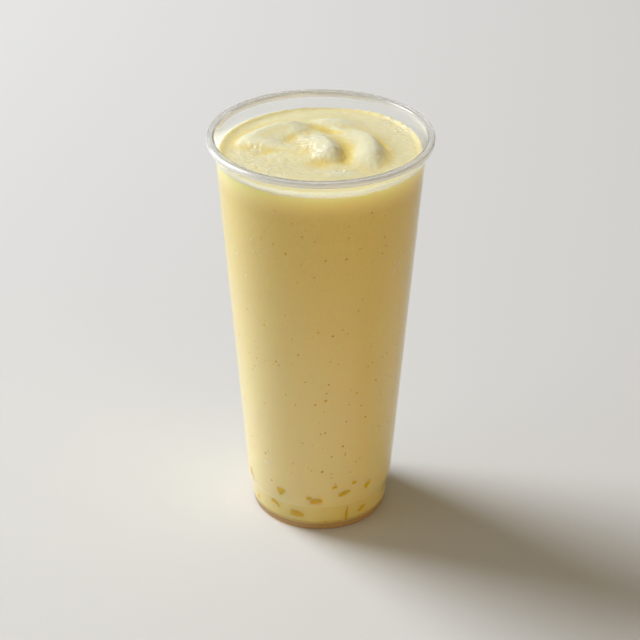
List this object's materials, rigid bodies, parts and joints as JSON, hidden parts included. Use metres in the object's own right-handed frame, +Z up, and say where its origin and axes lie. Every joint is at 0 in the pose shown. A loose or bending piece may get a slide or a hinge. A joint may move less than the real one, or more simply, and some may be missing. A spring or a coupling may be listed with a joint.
{
  "type": "mango smoothie in a clear cup",
  "caption": "Thick mango smoothie with poured folds on top, in a tall clear tapered takeaway cup with a rolled rim and a narrower base.",
  "frame": {"origin": "centre of the cup's foot, on the surface that the cup stands on", "axes": "+Z up along the cup's own axis; -Y is the side that the picture looks at and +X is on its right"},
  "size_m": [0.095, 0.095, 0.1785],
  "materials": {
    "clear_plastic": "thin clear glossy plastic",
    "smoothie": "thick wet mango smoothie, pale yellow, with a soft sheen",
    "mango": "wet mango flesh, deep yellow",
    "foam": "pale foam and fine bubbles"
  },
  "bodies": {
    "root": {"cup": "clear_plastic", "smoothie": "smoothie"}
  },
  "joints": []
}
